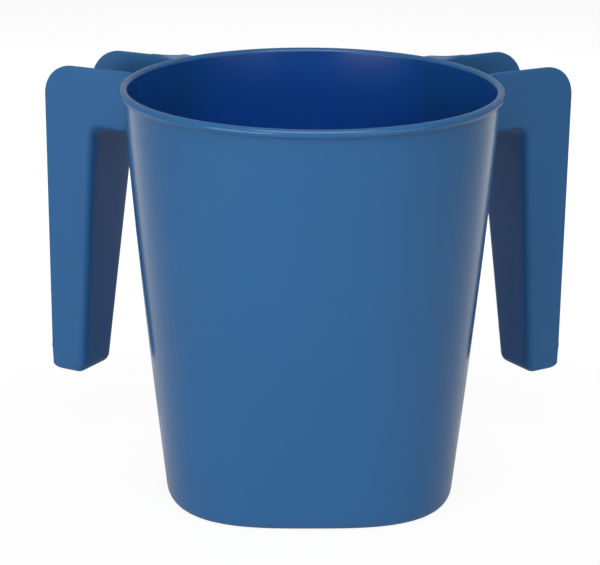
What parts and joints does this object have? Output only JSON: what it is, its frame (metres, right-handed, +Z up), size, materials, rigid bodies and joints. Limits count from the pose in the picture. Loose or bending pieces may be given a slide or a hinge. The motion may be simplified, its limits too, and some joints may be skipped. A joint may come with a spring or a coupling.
{
  "type": "two-handled washing cup",
  "caption": "Open plastic washing cup that tapers from a round beaded rim to a soft square base, with swept-back handles moulded as open channels.",
  "frame": {"origin": "centre of the standing face under the base", "axes": "+Z up along the cup's axis, handles out to -X and +X and swept back towards +Y, front of the cup towards -Y"},
  "size_m": [0.1864, 0.13, 0.141],
  "materials": {
    "blue_plastic": "semi-gloss moulded plastic"
  },
  "bodies": {
    "root": {"cup_wall": "blue_plastic", "cup_floor": "blue_plastic", "foot_ring": "blue_plastic", "rim_bead": "blue_plastic", "left_handle_front_cheek": "blue_plastic", "left_handle_rear_cheek": "blue_plastic", "left_handle_web": "blue_plastic", "right_handle_front_cheek": "blue_plastic", "right_handle_rear_cheek": "blue_plastic", "right_handle_web": "blue_plastic"}
  },
  "joints": []
}
